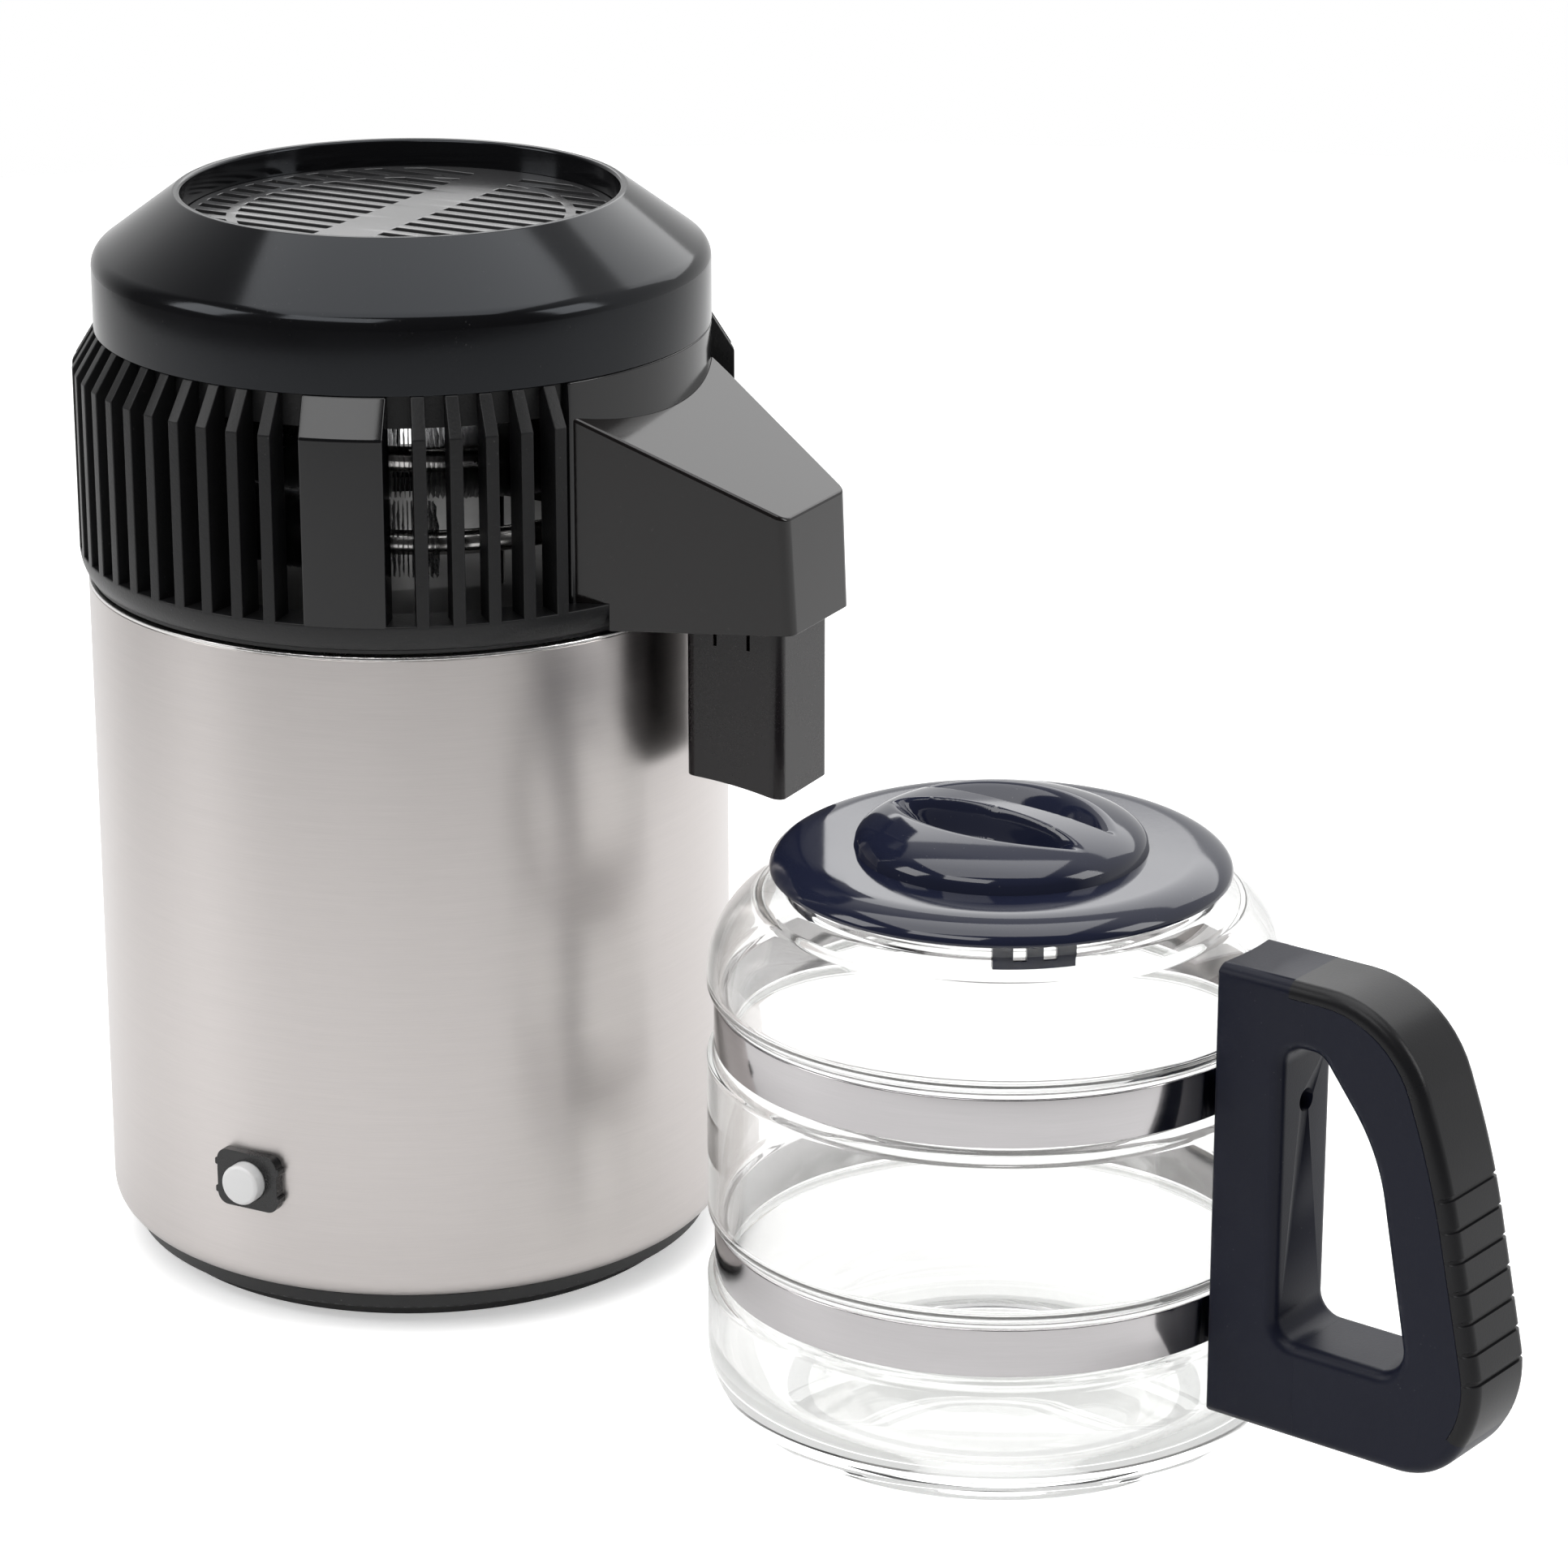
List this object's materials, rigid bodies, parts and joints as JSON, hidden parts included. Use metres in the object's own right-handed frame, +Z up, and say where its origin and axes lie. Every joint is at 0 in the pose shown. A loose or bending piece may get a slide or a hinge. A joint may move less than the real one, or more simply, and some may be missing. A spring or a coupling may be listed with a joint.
{
  "type": "countertop water distiller",
  "caption": "Countertop water distiller: steel boiler, black finned head with fan and condenser coil, spout with filter cup, and a lidded glass jug with a handle.",
  "frame": {"origin": "on the boiler's axis at the counter, in the plane of the foot ring's underside", "axes": "+Z up, +X from the boiler's axis through the spout, -Y towards the reset button"},
  "size_m": [0.5297, 0.241, 0.36],
  "materials": {
    "brushed_steel": "horizontally brushed",
    "satin_steel": "satin drawn",
    "polished_steel": "polished",
    "fastener_steel": "plated",
    "aluminium": "bright",
    "painted_steel": "satin",
    "contact_brass": "plated",
    "gloss_black": "high gloss",
    "spout_black": "semi gloss",
    "vent_black": "fine matt texture",
    "satin_black": "satin",
    "button_white": "satin",
    "navy_gloss": "high gloss",
    "navy_satin": "satin",
    "strip_black": "satin",
    "rubber": "matt",
    "silicone": "matt",
    "sachet": "filter paper",
    "glass": "clear"
  },
  "bodies": {
    "boiler": {"base_pan": "satin_black", "foot_ring": "rubber", "base_screws": "fastener_steel", "outer_shell": "brushed_steel", "inner_pot": "satin_steel", "heating_plate": "aluminium", "thermostats": "satin_black", "reset_switch": "satin_black", "reset_bezel": "satin_black", "mains_inlet": "satin_black", "inlet_pins": "contact_brass", "fan_outlet": "satin_black", "outlet_pins": "contact_brass"},
    "reset_button": {"reset_button": "button_white"},
    "head": {"head_tray": "satin_steel", "rim_seal": "silicone", "vent_ring": "vent_black", "dome_cover": "gloss_black", "top_grille": "vent_black", "motor_bracket": "painted_steel", "bracket_screws": "fastener_steel", "fan_motor": "painted_steel", "condenser_coil": "polished_steel", "coil_fins": "aluminium", "spout_housing": "spout_black", "fan_lead_gland": "rubber"},
    "fan": {"fan_rotor": "vent_black"},
    "filter_cup": {"filter_cup": "satin_black", "carbon_sachet": "sachet"},
    "jug": {"glass_jug": "glass", "upper_band": "polished_steel", "lower_band": "polished_steel", "handle_body": "navy_satin", "handle_grip_strip": "strip_black", "band_nuts": "fastener_steel", "handle_screws": "fastener_steel"},
    "lid": {"jug_lid": "navy_gloss"}
  },
  "joints": [
    {"name": "head_lift", "type": "slide", "parent": "boiler", "child": "head", "axis": [0, 0, 1], "range_m": [0, 0.12]},
    {"name": "fan_spin", "type": "hinge", "parent": "head", "child": "fan", "pos_m": [0, 0, 0.33], "axis": [0, 0, 1], "continuous": true},
    {"name": "cup_pull", "type": "slide", "parent": "head", "child": "filter_cup", "axis": [0, 0, -1], "range_m": [0, 0.012]},
    {"name": "button_press", "type": "slide", "parent": "boiler", "child": "reset_button", "axis": [0, 1, 0], "range_m": [0, 0.0025], "stiffness_N_per_m": 400},
    {"name": "jug_slide", "type": "slide", "parent": "boiler", "child": "jug", "axis": [0.9848, -0.1736, 0], "range_m": [0, 0.15]},
    {"name": "lid_lift", "type": "slide", "parent": "jug", "child": "lid", "axis": [0, 0, 1], "range_m": [0, 0.06]}
  ]
}
